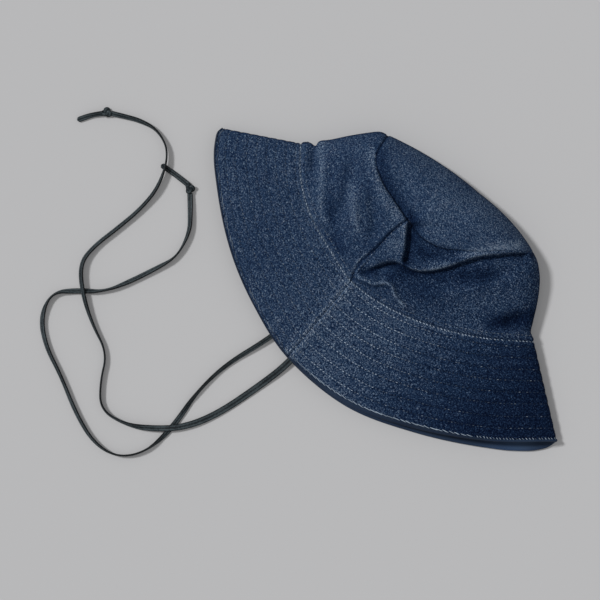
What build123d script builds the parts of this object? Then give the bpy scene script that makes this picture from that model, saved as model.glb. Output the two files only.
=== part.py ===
from build123d import *
import os
from math import radians, tan

# Denim bucket hat lying on its side, folded flat along two folds, with two laces. Millimetres.
# +Z is up and z = 0 is the surface it lies on. The brim opens towards -Y and the fold across the
# crown's tip is at +Y. The front half wraps the fold at -X, the back half wraps the fold at +X.
# Every cloth is a closed shell between two depths below the hat's outer face, cut to its panel by
# areas seen from above, so the upper and the lower layer of a panel are one solid round its fold.

# Cloth thicknesses, from the outer face inwards
DENIM = 0.9
INTERLINING = 0.6
UNDER_BRIM = 0.5
LINING = 0.4
SWEATBAND = 0.8

# Seen from above: the arcs of the brim's edge and of the seams, and the lines of the folds
EDGE_CENTRE = (-2, 127)
EDGE_RADIUS = 231
SEAM_CENTRE = (-14, 141)
SEAM_RADIUS = 163
TIP_CENTRE = (-8, 110)
TIP_RADIUS = 82
BRIM_CORNERS = ((-190, -7), (190, -1))
BRIM_FOLD_TOPS = ((-126, 34), (118, 45))
CROWN_FOLD_FEET = ((-126, 34), (118, 45))
CROWN_FOLD_TOPS = ((-87, 87), (73, 97))
TIP_FOLD_MIDDLE = (2, 103.6)
SIDE_SEAM = ((-15, -150), (-15, -104), (-25, -22), (-28, 40), (-28, 150))
REACH = 320
FRONT_REACH = 150
BRIM_REACH_PAST_CORNERS = 1.4
BRIM_REACH_PAST_FOLD_TOPS = 0.5
CROWN_REACH_PAST_FEET = 1.3

# Heights of the folded hat, and how its folds lean in
BRIM_HEIGHT = 13.0
MIDDLE = BRIM_HEIGHT / 2
CROWN_HEIGHT = 38.0
CREST = ((0, 38), (55, 37.5), (100, 32), (135, 22), (163, 13))
CREST_END_SLOPE = -0.3
WALL_LEAN = 18
FOLD_LEAN = 35

# Sweatband: a loop inside the crown, from just above the brim seam
BAND_FOOT = 2.0
BAND_WIDTH = 28.0

# Laces and the tabs that hold them at the side seams
LACE_DIAMETER = 3.6
LACE_RADIUS = LACE_DIAMETER / 2
FLOOR_Z = 1.9
HUMP_Z = 8.5
GAP_Z = 4.5
KNOT_Z = 3.9
KNOT_RING = 2.2
KNOT_REACH = 3.0
TAB_WIDTH = 10.0
TAB_LENGTH = 20.0
TAB_THICKNESS = 1.2
TAB_BEND_UNDER = 7.0
TAB_BEND_OVER = 6.0
UPPER_TAB_RISE = 4.0

# Routes of the laces, from the tab to the knot, and of the bare tails past the knots
UPPER_ROUTE = [
    (-22, -24, GAP_Z), (-22, -50, GAP_Z), (-18, -80, GAP_Z), (-16, -108, GAP_Z),
    (-21, -140, FLOOR_Z), (-30, -180, FLOOR_Z), (-43, -207, HUMP_Z), (-62, -226, HUMP_Z),
    (-80, -238, FLOOR_Z), (-103, -243, FLOOR_Z), (-119, -226, FLOOR_Z), (-131, -205, FLOOR_Z),
    (-157, -196, FLOOR_Z), (-180, -183, HUMP_Z), (-198, -167, HUMP_Z), (-200, -149, FLOOR_Z),
    (-196, -124, FLOOR_Z), (-193, -98, FLOOR_Z), (-195, -74, HUMP_Z), (-208, -49, HUMP_Z),
    (-227, -42, FLOOR_Z), (-243, -46, FLOOR_Z), (-256, -53, KNOT_Z), (-266, -59, KNOT_Z),
]
LOWER_ROUTE = [
    (-34, -24, GAP_Z), (-34, -50, GAP_Z), (-38, -80, GAP_Z), (-43, -108, GAP_Z),
    (-53, -144, FLOOR_Z), (-55, -177, FLOOR_Z), (-49, -212, FLOOR_Z), (-51, -242, FLOOR_Z),
    (-65, -262, FLOOR_Z), (-88, -267, FLOOR_Z), (-116, -259, FLOOR_Z), (-146, -245, FLOOR_Z),
    (-172, -236, FLOOR_Z), (-192, -221, FLOOR_Z), (-199, -200, FLOOR_Z), (-185, -185, FLOOR_Z),
    (-168, -170, FLOOR_Z), (-158, -149, FLOOR_Z), (-149, -124, FLOOR_Z), (-144, -107, FLOOR_Z),
    (-150, -86, FLOOR_Z), (-160, -74, KNOT_Z), (-173, -61, KNOT_Z),
]
UPPER_TAIL = [(-275, -69, FLOOR_Z), (-279, -76, FLOOR_Z), (-282, -82, FLOOR_Z)]
LOWER_TAIL = [(-184, -58, FLOOR_Z), (-194, -59, FLOOR_Z), (-206, -61, FLOOR_Z)]

os.makedirs("parts", exist_ok=True)


def save(part, name):
    part.label = name
    export_step(part, f"parts/{name}.step")


def along(start, end, share):
    """The point at a share of the way from start to end, which may lie past either."""
    return tuple(a + (b - a) * share for a, b in zip(start, end))


# ---- Spaces inside the folded hat ----

def brim_space(depth):
    """The space between the two folds of the brim, a depth below its outer face."""
    folds = list(zip(BRIM_CORNERS, BRIM_FOLD_TOPS))
    ends = (-BRIM_REACH_PAST_CORNERS, 1 + BRIM_REACH_PAST_FOLD_TOPS)
    left, right = ([along(*fold, share) for share in ends] for fold in folds)
    with BuildPart() as space:
        with BuildSketch(Plane.XY.offset(MIDDLE)):
            with BuildLine():
                front = (-REACH, -FRONT_REACH), (REACH, -FRONT_REACH)
                Polyline(left[1], left[0], *front, right[0], right[1], left[1])
            make_face()
            if depth:
                offset(amount=-depth, kind=Kind.INTERSECTION)
        extrude(amount=MIDDLE - depth, taper=FOLD_LEAN, both=True)
    return space.part


def crown_space(depth):
    """The space inside the crown, a depth below its outer face, under a crest round the seam's centre."""
    left, right = (along(*fold, -CROWN_REACH_PAST_FEET) for fold in zip(CROWN_FOLD_FEET, CROWN_FOLD_TOPS))
    with BuildPart() as space:
        with BuildSketch(Plane.XY.offset(MIDDLE)) as outline:
            with BuildLine():
                ThreePointArc(CROWN_FOLD_TOPS[1], TIP_FOLD_MIDDLE, CROWN_FOLD_TOPS[0])
                Polyline(CROWN_FOLD_TOPS[0], left, right, CROWN_FOLD_TOPS[1])
            make_face()
            if depth:
                offset(amount=-depth, kind=Kind.INTERSECTION)
        extrude(amount=CROWN_HEIGHT, taper=WALL_LEAN)
        extrude(outline.sketch, amount=MIDDLE - depth, dir=(0, 0, -1), taper=FOLD_LEAN)
        with BuildSketch(Plane(origin=(*SEAM_CENTRE, -depth), x_dir=(1, 0, 0), z_dir=(0, -1, 0))):
            with BuildLine():
                crest = Spline(*CREST, tangents=[(1, 0), (1, CREST_END_SLOPE)])
                Polyline(crest @ 1, (REACH, BRIM_HEIGHT), (REACH, -MIDDLE), (0, -MIDDLE), crest @ 0)
            make_face()
        revolve(axis=Axis((*SEAM_CENTRE, 0), (0, 0, 1)), mode=Mode.INTERSECT)
    return space.part


def cloth(space, depth, thickness):
    """One cloth of the hat: what lies between two depths."""
    with BuildPart() as shell:
        add(space(depth))
        add(space(depth + thickness), mode=Mode.SUBTRACT)
    return shell.part


# ---- Areas seen from above ----

def half_area(side):
    """Everything on one side of the side seam: -1 the front, +1 the back."""
    with BuildSketch() as area:
        with BuildLine():
            ends = (side * REACH, SIDE_SEAM[-1][1]), (side * REACH, SIDE_SEAM[0][1])
            Polyline(*SIDE_SEAM, *ends, SIDE_SEAM[0])
        make_face()
    return area.sketch


def ring_area(centre, radius, hole_centre, hole_radius):
    with BuildSketch() as area:
        with Locations(centre):
            Circle(radius)
        with Locations(hole_centre):
            Circle(hole_radius, mode=Mode.SUBTRACT)
    return area.sketch


BRIM_AREA = ring_area(EDGE_CENTRE, EDGE_RADIUS, SEAM_CENTRE, SEAM_RADIUS)
SIDE_AREA = ring_area(SEAM_CENTRE, SEAM_RADIUS, TIP_CENTRE, TIP_RADIUS)
BAND_OUTER = SEAM_RADIUS - BAND_FOOT
BAND_AREA = ring_area(SEAM_CENTRE, BAND_OUTER, SEAM_CENTRE, BAND_OUTER - BAND_WIDTH)
with BuildSketch() as tip_area:
    with Locations(TIP_CENTRE):
        Circle(TIP_RADIUS)


def panel(name, shell, *areas):
    """The piece of a cloth that stands over all the areas given."""
    with BuildPart() as piece:
        with BuildSketch():
            add(areas[0])
            for area in areas[1:]:
                add(area, mode=Mode.INTERSECT)
        extrude(amount=CROWN_HEIGHT + DENIM)
        add(shell, mode=Mode.INTERSECT)
    save(piece.part, name)


# ---- Cloth pieces ----

brim_cloths = {
    "brim_top": cloth(brim_space, 0, DENIM),
    "brim_interlining": cloth(brim_space, DENIM, INTERLINING),
    "brim_under": cloth(brim_space, DENIM + INTERLINING, UNDER_BRIM),
}
crown_cloths = {
    "crown": cloth(crown_space, 0, DENIM),
    "lining": cloth(crown_space, DENIM, LINING),
}
for half, side in (("front", -1), ("back", 1)):
    for name, shell in brim_cloths.items():
        panel(f"{name}_{half}", shell, BRIM_AREA, half_area(side))
    for name, shell in crown_cloths.items():
        panel(f"{name}_side_{half}", shell, SIDE_AREA, half_area(side))
for name, shell in crown_cloths.items():
    panel(f"{name}_tip", shell, tip_area.sketch)
panel("sweatband", cloth(crown_space, DENIM + LINING, SWEATBAND), BAND_AREA)


# ---- Laces ----

def tube(name, points):
    """A lace as a tube: straight runs joined by the largest arcs that its runs allow."""
    corners = [Vector(*point) for point in points]
    runs = [b - a for a, b in zip(corners, corners[1:])]
    radii = []
    for before, after in zip(runs, runs[1:]):
        half_turn = radians(before.get_angle(after)) / 2
        radii.append(0.45 * min(before.length, after.length) / tan(half_turn))
    with BuildPart() as lace:
        with BuildLine():
            path = FilletPolyline(*points, radius=radii)
        with BuildSketch(Plane(origin=path @ 0, z_dir=path % 0)) as section:
            Circle(LACE_RADIUS)
        sweep()
    expected = section.sketch.area * path.length
    print(f"{name}: runs {[round(run.length) for run in runs]}, radii {[round(r) for r in radii]}")
    print(f"{name}: length {path.length:.1f}, volume {lace.part.volume / expected:.4f} of expected")
    save(lace.part, name)


def knot(name, route, tail):
    """A drawn-tight overhand knot: a ring of lace round its core, flat where lace and tail enter."""
    end = Vector(*route[-1])
    inward = (end - Vector(*route[-2])).normalized()
    centre = end + inward * KNOT_REACH
    outward = (Vector(*tail[0]) - centre).normalized()
    tail_start = centre + outward * KNOT_REACH
    with BuildPart() as piece:
        with Locations(Plane(origin=centre, z_dir=(inward + outward) / 2)):
            Torus(KNOT_RING, LACE_RADIUS - 0.2)
        with Locations(centre):
            Sphere(KNOT_REACH + 0.4)
        split(bisect_by=Plane(origin=end, z_dir=inward), keep=Keep.TOP)
        split(bisect_by=Plane(origin=tail_start, z_dir=outward), keep=Keep.BOTTOM)
    save(piece.part, name)
    return tuple(tail_start)


def tab(name, start, rise):
    """A stitched tab on the sweatband, whose end meets the end of the lace; it may slope up with it."""
    x, y, z = start
    half_thickness = TAB_THICKNESS / 2
    with BuildPart() as piece:
        with BuildSketch(Plane.YZ.offset(x)):
            with BuildLine():
                Polyline(
                    (y, z - half_thickness),
                    (y + TAB_BEND_UNDER, z - half_thickness),
                    (y + TAB_LENGTH, z - half_thickness + rise),
                    (y + TAB_LENGTH, z + half_thickness + rise),
                    (y + TAB_BEND_OVER, z + half_thickness),
                    (y, z + half_thickness),
                    close=True,
                )
            make_face()
        extrude(amount=TAB_WIDTH / 2, both=True)
    save(piece.part, name)


LACES = (
    ("upper", UPPER_ROUTE, UPPER_TAIL, UPPER_TAB_RISE),
    ("lower", LOWER_ROUTE, LOWER_TAIL, 0),
)
for level, route, tail, tab_rise in LACES:
    tube(f"chin_strap_{level}", route)
    tail_start = knot(f"knot_{level}", route, tail)
    tube(f"strap_tail_{level}", [tail_start] + tail)
    tab(f"strap_tab_{level}", route[0], tab_rise)
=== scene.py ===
import math

import bpy
import numpy as np
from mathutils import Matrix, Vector


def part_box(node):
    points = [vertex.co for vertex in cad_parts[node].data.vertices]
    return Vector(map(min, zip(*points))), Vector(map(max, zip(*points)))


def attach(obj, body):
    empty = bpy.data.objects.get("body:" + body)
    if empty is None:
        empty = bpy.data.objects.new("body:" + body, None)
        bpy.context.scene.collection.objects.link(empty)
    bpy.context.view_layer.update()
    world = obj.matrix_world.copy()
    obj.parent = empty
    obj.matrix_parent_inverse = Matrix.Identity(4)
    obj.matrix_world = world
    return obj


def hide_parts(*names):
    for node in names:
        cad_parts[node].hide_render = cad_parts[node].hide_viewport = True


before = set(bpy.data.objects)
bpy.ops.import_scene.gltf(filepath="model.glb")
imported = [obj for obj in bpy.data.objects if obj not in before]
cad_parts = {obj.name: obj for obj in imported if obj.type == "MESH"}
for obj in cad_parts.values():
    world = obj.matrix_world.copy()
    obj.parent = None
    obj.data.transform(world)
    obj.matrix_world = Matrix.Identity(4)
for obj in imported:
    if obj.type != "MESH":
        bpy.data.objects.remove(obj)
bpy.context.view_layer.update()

MM = 0.001
ROOT = "root"


def hat_place():
    """The middle of the folded hat without its laces, at its lowest height, in mm: the frame says where."""
    corners = np.array([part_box(node) for node in ("brim_top_front", "brim_top_back", "crown_tip")]) / MM
    low, high = corners[:, 0].min(axis=0), corners[:, 1].max(axis=0)
    return np.array([(low[0] + high[0]) / 2, (low[1] + high[1]) / 2, low[2]])


HAT_PLACE = hat_place()

# ---------------------------------------------------------------- the folded hat's shape, in mm
# The hat lies folded flat in two layers. Its outer face is one net of points: rows run from the brim's
# edge to the middle of the crown's tip, columns run round the folded loop. Each control row below goes
# from the fold at -X (column 0) past the side seam (column 4) to the fold at +X (column 8), as
# column, x, y, height, measured from the hat's place.
EDGE_ROW = [(0, -190.3, -4.5, 12), (0.1, -190.4, -8.5, 12), (0.3, -186.5, -16, 12), (0.6, -177.5, -27, 12),
            (1, -160, -42, 12), (2, -115, -73, 11), (3, -69, -93, 10), (4, -20, -104.5, 9),
            (5, 40, -99, 10), (6, 93, -76.5, 11.5), (7, 146, -41.5, 13.5), (8, 189.5, -1.5, 12.5)]
SEAM_ROW = [(0, -134, 31.4, 16), (1, -112, 9, 17), (2, -85, -7, 17), (3, -55, -16, 18), (4, -25.4, -22.5, 18),
            (5, 9, -18, 17.5), (6, 47, -4, 17.5), (7, 84, 17.5, 17.5), (8, 118.4, 45.3, 16.5)]
SIDE_ROW = [(0, -111, 61, 22), (1, -96, 36, 27), (2, -74, 24, 29), (3, -53, 17, 29), (4, -27, 12, 28),
            (5, 3, 12, 27), (6, 34, 26, 26.5), (7, 65, 48, 25.5), (8, 97, 71, 19.5)]
TIP_ROW = [(0, -86.5, 86, 27), (1, -80.5, 64.5, 31), (2, -62, 54, 34), (3, -46, 50, 35), (4, -27, 45.6, 35),
           (4.4, -14, 42, 34), (5, 4, 44.5, 33), (6, 24, 58, 34), (7, 44.5, 77.5, 33), (8, 67, 98.5, 27)]
HALF_ROW = [(0, -42, 98, 30), (1, -40, 84, 34), (2, -32, 77, 36), (3, -24, 74, 37), (4, -13, 71, 37),
            (5, 2, 71, 37), (6, 15, 79, 37), (7, 26, 90, 35), (8, 36, 104, 31)]
TIP_CENTRE = (2, 103, 31)

# The lower layer, outer face down on the floor: column, x, y
LOWER_EDGE_ROW = [point[:3] for point in EDGE_ROW[:7]] + [
    (4, -19, -105), (5, 42, -101), (6, 96, -79), (7, 149, -47), (7.4, 169, -32), (7.7, 183, -18),
    (7.9, 188.5, -8), (8, 189.5, -1.5)]
LOWER_SEAM_ROW = [point[:3] for point in SEAM_ROW]
LOWER_SIDE_ROW = [(0, -111, 61), (1, -97, 40), (2, -74, 26), (3, -46, 18), (4, -16, 15), (5, 16, 18),
                  (6, 48, 26), (7, 72, 44), (8, 97, 71)]
LOWER_TIP_ROW = [(0, -86.5, 86), (1, -80, 70), (2, -62, 58), (3, -38, 51), (4, -12, 49), (5, 14, 50),
                 (6, 38, 57), (7, 56, 74), (8, 67, 98.5)]
LOWER_HALF_ROW = [(0, -42, 98), (1, -39, 86), (2, -30, 80), (3, -18, 76), (4, -5, 75), (5, 8, 76),
                  (6, 20, 80), (7, 28, 88), (8, 36, 104)]

# The crown's outline at its two folds, from the brim's seam to the tip
LEFT_FOLD = [(-134, 31.4), (-129, 37), (-123.8, 38.2), (-124, 43.5), (-118, 51), (-109, 64), (-99, 77),
             (-93, 83.5), (-86.5, 86)]
RIGHT_FOLD = [(118.4, 45.3), (114, 47), (110.4, 50.2), (106.5, 57), (97.5, 72), (88, 84.5), (81, 91),
              (74.5, 95.5), (67, 98.5)]
FOLD_PULL = 1.3  # columns over which the outline's own shape fades

# The bend at the folds, for the edge, seam, side, tip, half and centre rows: the height of its outermost
# line, and how far in it reaches on the left, on the right and underneath
FOLD_HEIGHT = (7.5, 9, 9, 9, 9, 9)
FOLD_REACH_LEFT = (14, 14, 18, 20, 26, 26)
FOLD_REACH_RIGHT = (26, 22, 18, 20, 26, 26)
LOWER_REACH = (9, 11, 13, 13, 13, 13)
FLOOR_GAP = 1.1  # room under the lower layer for its seams and stitches

COLUMNS = 8
FOLD_CROWDING = 0.72  # how much closer together the net's columns stand at the folds

# The nominal scale up the cloth on which seams, stitches and wear are placed. The folded net is mostly
# shorter: its side is 62 to 82 mm high, and the scale is spread evenly over its rows
BRIM_WIDTH, SIDE_WIDTH, TIP_RADIUS = 83, 85, 82
BRIM_STEPS, SIDE_STEPS, TIP_STEPS = 84, 76, 64
ACROSS_STEPS = 320
SEAM_AT = BRIM_STEPS
TIP_AT = SEAM_AT + SIDE_STEPS
LAST = TIP_AT + TIP_STEPS

# Folds and dents of the upper layer's crown, as lines of x, y
RIDGE = [(-21.6, -6.2), (-19.8, -2.4), (-17.1, 3.6), (-12.7, 10.4), (-6.8, 14.8), (-0.6, 16.2),
         (6.6, 19.2), (12.7, 24), (19, 31.4), (24.7, 40.4), (30, 51), (36.2, 62.1), (44.1, 71.8), (55, 84.5),
         (67, 97)]
FLAP_EDGE = [(-4.6, 16), (-8, 22.2), (-12, 28.2), (-19.2, 37.3), (-25.8, 44.8)]
TIP_SEAM_LEFT = [(-22, 44.5), (-27, 45.6), (-34, 46.8), (-46.4, 50.2), (-59.3, 52.9), (-71.4, 58.5),
                 (-80, 64.5)]
TIP_SEAM_RIGHT = [(-24, 45), (-15.5, 43), (-6.1, 41.5), (2.1, 43.7), (11.1, 48.7), (20.1, 54.9), (29.6, 62.9),
                  (41.4, 74.6)]
WELT_RIDGE = [(-29.5, -12), (-24.8, -15.8), (-17.6, -14.5), (-9.7, -11), (-4.6, -4.7), (1.2, -3.2),
              (6.2, -5.5), (11, -7.4), (19.6, -7.5), (27.3, -5), (38, -0.5)]
CROWN_SIDE_SEAM = [(-27, 45.6), (-28.6, 36), (-29.6, 26), (-29.4, 9.5), (-30.6, 0), (-31, -5), (-30.1, -12),
                   (-28.4, -17), (-25.4, -22.5)]

# A step goes down to the right of its line: line, drop, width of its edge, reach of the dip beyond it, and
# the shares of the line over which it fades in at the start and out at the end
STEPS = [
    (RIDGE, 7.5, 1.5, 9, 0.13, 0.04),
    (FLAP_EDGE, 9.0, 2.2, 9, 0.16, 0.14),
    (TIP_SEAM_LEFT, 5.2, 3.2, 12, 0.14, 0.60),
    (TIP_SEAM_RIGHT, 2.6, 3.5, 9, 0.35, 0.45),
]

# Soft folds: line, height (negative for a dip), half width, fade at its ends
SOFT_FOLDS = [
    (WELT_RIDGE, 3.4, 1.9, 0.2),
    ([(-26, -13), (-21, -7), (-17, -2)], -3.0, 3.2, 0.4),
    ([(-20, -1), (-15, 6), (-9, 12), (-2, 13)], -2.4, 3.0, 0.35),
    ([(-123, 37), (-115, 27), (-106, 18)], -3.0, 3.5, 0.35),
    ([(-117, 43), (-98, 18.8), (-84.7, 2.5)], 1.6, 4.0, 0.3),
    ([(-101, 56), (-86.6, 40.7), (-75.3, 22.8), (-60.7, -3.4)], -2.6, 6.0, 0.3),
    ([(-84, 17), (-66, 0), (-50, -10)], -2.6, 6.0, 0.3),
    ([(-78, 33), (-63, 20), (-48, 8)], 2.4, 4.0, 0.35),
    ([(-70, 44), (-55, 34), (-43.6, 24.3), (-34.6, 7.6)], -3.0, 5.0, 0.3),
    ([(-86, 60), (-72, 52), (-60, 47), (-49, 43.6), (-36, 41)], 1.8, 4.0, 0.3),
    ([(3, 12), (34, 34), (56, 59.5), (67, 84)], -2.6, 6.5, 0.3),
    ([(20, 10), (35, 21), (52, 44), (69.7, 68.9)], 1.8, 7.0, 0.35),
    ([(86, 36), (94, 47), (103, 60)], -5.0, 5.5, 0.4),
    ([(64, 14), (86, 27), (108, 43)], 1.0, 3.0, 0.3),
    ([(-10, 36), (2, 38), (14, 46), (26, 58)], -1.5, 6.0, 0.3),
    ([(12, 29), (22, 43), (34, 62), (48, 80)], 1.6, 3.0, 0.3),
    ([(-70, 70), (-46, 62), (-26, 56)], -1.5, 7.0, 0.4),
    ([(-50, 80), (-20, 68), (10, 76), (34, 92)], 1.2, 9.0, 0.4),
]
GROOVES = [(CROWN_SIDE_SEAM, 2.6, 0.75)]  # seams that show as a fine line: line, depth, half width

# Cloth thicknesses, and the room between layers
DENIM, INTERLINING, UNDER_BRIM, LINING, BAND = 0.8, 0.35, 0.4, 0.4, 0.6
LAYER_GAP = 0.03

# Seams, hem and stitching
BRIM_STITCH_ROWS = (0.06, 0.17, 0.285, 0.395, 0.51, 0.625, 0.75, 0.865)  # shares of the brim from its seam
HEM = 3.4
HEM_ROW = HEM * BRIM_STEPS / BRIM_WIDTH  # where its own edge lies, counted in rows
HEM_LEAST = 0.12  # the share of the hem that shows on top at the left
HEM_GROWS = (-70, 50)  # in x, where it grows to its full width
HEM_NARROWS = (90, 150)  # in x, where it shrinks again, by HEM_NARROWER
HEM_NARROWER = 0.5
HEM_TURNS = 136  # in x, where its stitches turn short and steep
WELT = 7.0  # width of the raised welt above the brim's seam
WELT_STITCH_INSET = 1.2
SIDE_STITCH_AWAY = 2.4  # from the side seam to the stitch row at each side of it
CROWN_STITCH_AWAY = 1.7
TIP_SEAM_FLATTENS = (14, 34)  # in x, where the tip's seam loses TIP_SEAM_FLATTER of its depth
TIP_SEAM_FLATTER = 0.75

# Fine shapes of the outer cloth. A groove is its depth and its half width
STITCH_GROOVE = 0.40, 1.4
HEM_GROOVE = 0.5, 1.3
SEAM_GROOVE = 0.9, 1.0
WELT_GROOVE = 0.35, 0.9
TIP_SEAM_GROOVE = 1.7, 0.9
SIDE_SEAM_GROOVE = 0.3, 0.8
SIDE_STITCH_GROOVE = 0.3, 0.7
LOWER_SEAM_GROOVE = 0.7, 0.9
WELT_RISE, WELT_FOOT, WELT_EDGE = 0.8, 2, (WELT - 0.5, WELT + 1.2)
ALLOWANCE_RISE, ALLOWANCE_EDGE = 0.6, (4.0, 5.5)  # the seam allowance under the brim's cloth


def row_spline(row, places):
    """A smooth curve through a control row's points, at places counted in columns."""
    row = np.asarray(row, float)
    at, points = row[:, 0], row[:, 1:]
    slope = np.gradient(points, at, axis=0)
    i = np.clip(np.searchsorted(at, places, side="right") - 1, 0, len(at) - 2)
    gap = (at[i + 1] - at[i])[:, None]
    t = (places[:, None] - at[i][:, None]) / gap
    start, end = points[i], points[i + 1]
    return ((2 * t**3 - 3 * t**2 + 1) * start + (t**3 - 2 * t**2 + t) * gap * slope[i]
            + (3 * t**2 - 2 * t**3) * end + (t**3 - t**2) * gap * slope[i + 1])


def smooth_line(points, steps=8):
    """Points along a smooth line through the given ones."""
    row = [(k, *point) for k, point in enumerate(points)]
    return row_spline(row, np.linspace(0, len(points) - 1, steps * (len(points) - 1) + 1))


def smooth(low, high, value):
    """0 up to low, 1 from high on, and a smooth rise between them."""
    t = np.clip((value - low) / (high - low), 0, 1)
    return t * t * (3 - 2 * t)


def bump_at(distance, width):
    """1 at no distance, falling off smoothly over a half width."""
    return np.exp(-((distance / width) ** 2))


def unit(vectors):
    """The same directions, each of length 1."""
    return vectors / np.maximum(np.linalg.norm(vectors, axis=-1, keepdims=True), 1e-9)


def distances(points):
    """How far along their line each of the points lies."""
    return np.r_[0, np.cumsum(np.linalg.norm(np.diff(points, axis=0), axis=1))]


def at_places(places, run, values):
    """What a line's points are like at places along it."""
    return np.stack([np.interp(places, run, column) for column in values.T], axis=-1)


def between_rows(edge, seam, side, tip, half, centre):
    """All rows from the brim's edge to the tip's middle: the brim is ruled, the crown is curved."""
    def curved(a, b, c, t):
        return a * (1 - t) * (1 - 2 * t) + 4 * b * t * (1 - t) + c * t * (2 * t - 1)
    made = [edge + (seam - edge) * t for t in np.linspace(0, 1, BRIM_STEPS + 1)]
    made += [curved(seam, side, tip, t) for t in np.linspace(0, 1, SIDE_STEPS + 1)[1:]]
    made += [curved(tip, half, centre, t) for t in np.linspace(0, 1, TIP_STEPS + 1)[1:]]
    return np.array(made)


def row_values(values):
    """One number for each row, from those of the six control rows."""
    return between_rows(*(np.array([float(value)]) for value in values))


def line_distance(points, line):
    """Distance to a line, the share of the way along it, and the side of it: 1 left, -1 right."""
    best = np.full(len(points), np.inf)
    along, side = np.zeros(len(points)), np.ones(len(points))
    for k in range(len(line) - 1):
        a, run = line[k], line[k + 1] - line[k]
        length2 = run @ run
        if length2 < 1e-12:
            continue
        t = np.clip(((points - a) @ run) / length2, 0, 1)
        off = points - (a + t[:, None] * run)
        d = np.hypot(off[:, 0], off[:, 1])
        nearer = d < best - 1e-9
        best = np.where(nearer, d, best)
        along = np.where(nearer, (k + t) / (len(line) - 1), along)
        turned = np.where(run[0] * (points[:, 1] - a[1]) - run[1] * (points[:, 0] - a[0]) >= 0, 1, -1)
        side = np.where(nearer, turned, side)
    return best, along, side


def relief(points):
    """Ups and downs of the upper layer's crown."""
    lift = np.zeros(len(points))
    for line, drop, edge, reach, start, end in STEPS:
        d, along, side = line_distance(points, smooth_line(line))
        fade = smooth(0, start, along) * (1 - smooth(1 - end, 1, along))
        past = -side * d
        lift -= drop * fade * smooth(-edge, edge, past) * np.exp(-np.maximum(past, 0) / reach)
    for line, height, width, ends in SOFT_FOLDS:
        d, along, _ = line_distance(points, smooth_line(line))
        fade = smooth(0, ends, along) * (1 - smooth(1 - ends, 1, along))
        lift += height * fade * bump_at(d, width)
    for line, depth, width in GROOVES:
        d, along, _ = line_distance(points, smooth_line(line))
        lift -= depth * bump_at(d, width) * (along > 0) * (along < 1)
    return lift


tau = np.linspace(0, 1, ACROSS_STEPS + 1)
ACROSS = COLUMNS * (tau - FOLD_CROWDING * np.sin(2 * np.pi * tau) / (2 * np.pi))


def build_net():
    """The outer face's points: from the side seam underneath, round the fold at -X, over the top and
    round the fold at +X back to the side seam underneath."""
    def plan(edge, seam, side, tip, half, centre):
        rows = [row_spline(row, ACROSS) for row in (edge, seam, side, tip, half)]
        middle = np.broadcast_to(np.array(centre, float), (len(ACROSS), len(centre)))
        return between_rows(*rows, middle)
    upper = plan(EDGE_ROW, SEAM_ROW, SIDE_ROW, TIP_ROW, HALF_ROW, TIP_CENTRE)
    lower = plan(LOWER_EDGE_ROW, LOWER_SEAM_ROW, LOWER_SIDE_ROW, LOWER_TIP_ROW, LOWER_HALF_ROW,
                 TIP_CENTRE[:2])

    crown_rows = slice(SEAM_AT, TIP_AT + 1)
    for column, fold in ((0, LEFT_FOLD), (-1, RIGHT_FOLD)):
        wanted = smooth_line(fold)
        run = distances(wanted)
        wanted = at_places(np.linspace(0, run[-1], SIDE_STEPS + 1), run, wanted)
        off = wanted - upper[crown_rows, column, :2]
        near = np.abs(ACROSS - ACROSS[column])
        share = (1 - smooth(0, FOLD_PULL, near))[None, :, None]
        upper[crown_rows, :, :2] += off[:, None, :] * share
        lower[crown_rows] += (wanted - lower[crown_rows, column])[:, None, :] * share

    outline = [upper[:, 0, :2], upper[::-1, -1, :2]]
    fold_height = row_values(FOLD_HEIGHT)
    right = (ACROSS / COLUMNS)[None, :]
    upper_reach = row_values(FOLD_REACH_LEFT) * (1 - right) + row_values(FOLD_REACH_RIGHT) * right
    lower_reach = row_values(LOWER_REACH) * np.ones_like(right)

    def fullness(flat, reach):
        d = np.minimum(*(line_distance(flat.reshape(-1, 2), side)[0] for side in outline))
        return np.sqrt(1 - (1 - np.clip(d.reshape(reach.shape) / reach, 0, 1)) ** 2)
    crown = np.zeros(upper.shape[:2])
    crown[SEAM_AT:] = relief(upper[SEAM_AT:, :, :2].reshape(-1, 2)).reshape(-1, len(ACROSS))
    height = upper[:, :, 2] + crown
    top = upper.copy()
    top[:, :, 2] = fold_height + (height - fold_height) * fullness(upper[:, :, :2], upper_reach)
    low = fold_height - (fold_height - FLOOR_GAP) * fullness(lower, lower_reach)
    bottom = np.concatenate([lower, low[:, :, None]], axis=2)
    middle = ACROSS_STEPS // 2
    return np.concatenate([bottom[:, middle:0:-1], top, bottom[:, -2:middle - 1:-1]], axis=1)


def net_normals(net):
    n = np.cross(np.gradient(net, axis=1), np.gradient(net, axis=0))
    size = np.linalg.norm(n, axis=2, keepdims=True)
    n = np.where(size > 1e-6, n / np.maximum(size, 1e-9), (0, 1, 0))
    return n if n[BRIM_STEPS // 2, n.shape[1] // 2, 2] > 0 else -n


NET = build_net()
ROUND = NET.shape[1]
NORMALS = net_normals(NET)
FRONT, BACK, WHOLE = slice(0, ROUND // 2 + 1), slice(ROUND // 2, ROUND), slice(0, ROUND)
SIDE, TIP = slice(SEAM_AT, TIP_AT + 1), slice(TIP_AT, LAST + 1)

# Nominal distance up the cloth from the brim's seam, less than 0 on the brim
FROM_SEAM = row_values((-BRIM_WIDTH, 0, SIDE_WIDTH / 2, SIDE_WIDTH, SIDE_WIDTH + TIP_RADIUS / 2,
                        SIDE_WIDTH + TIP_RADIUS))

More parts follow.
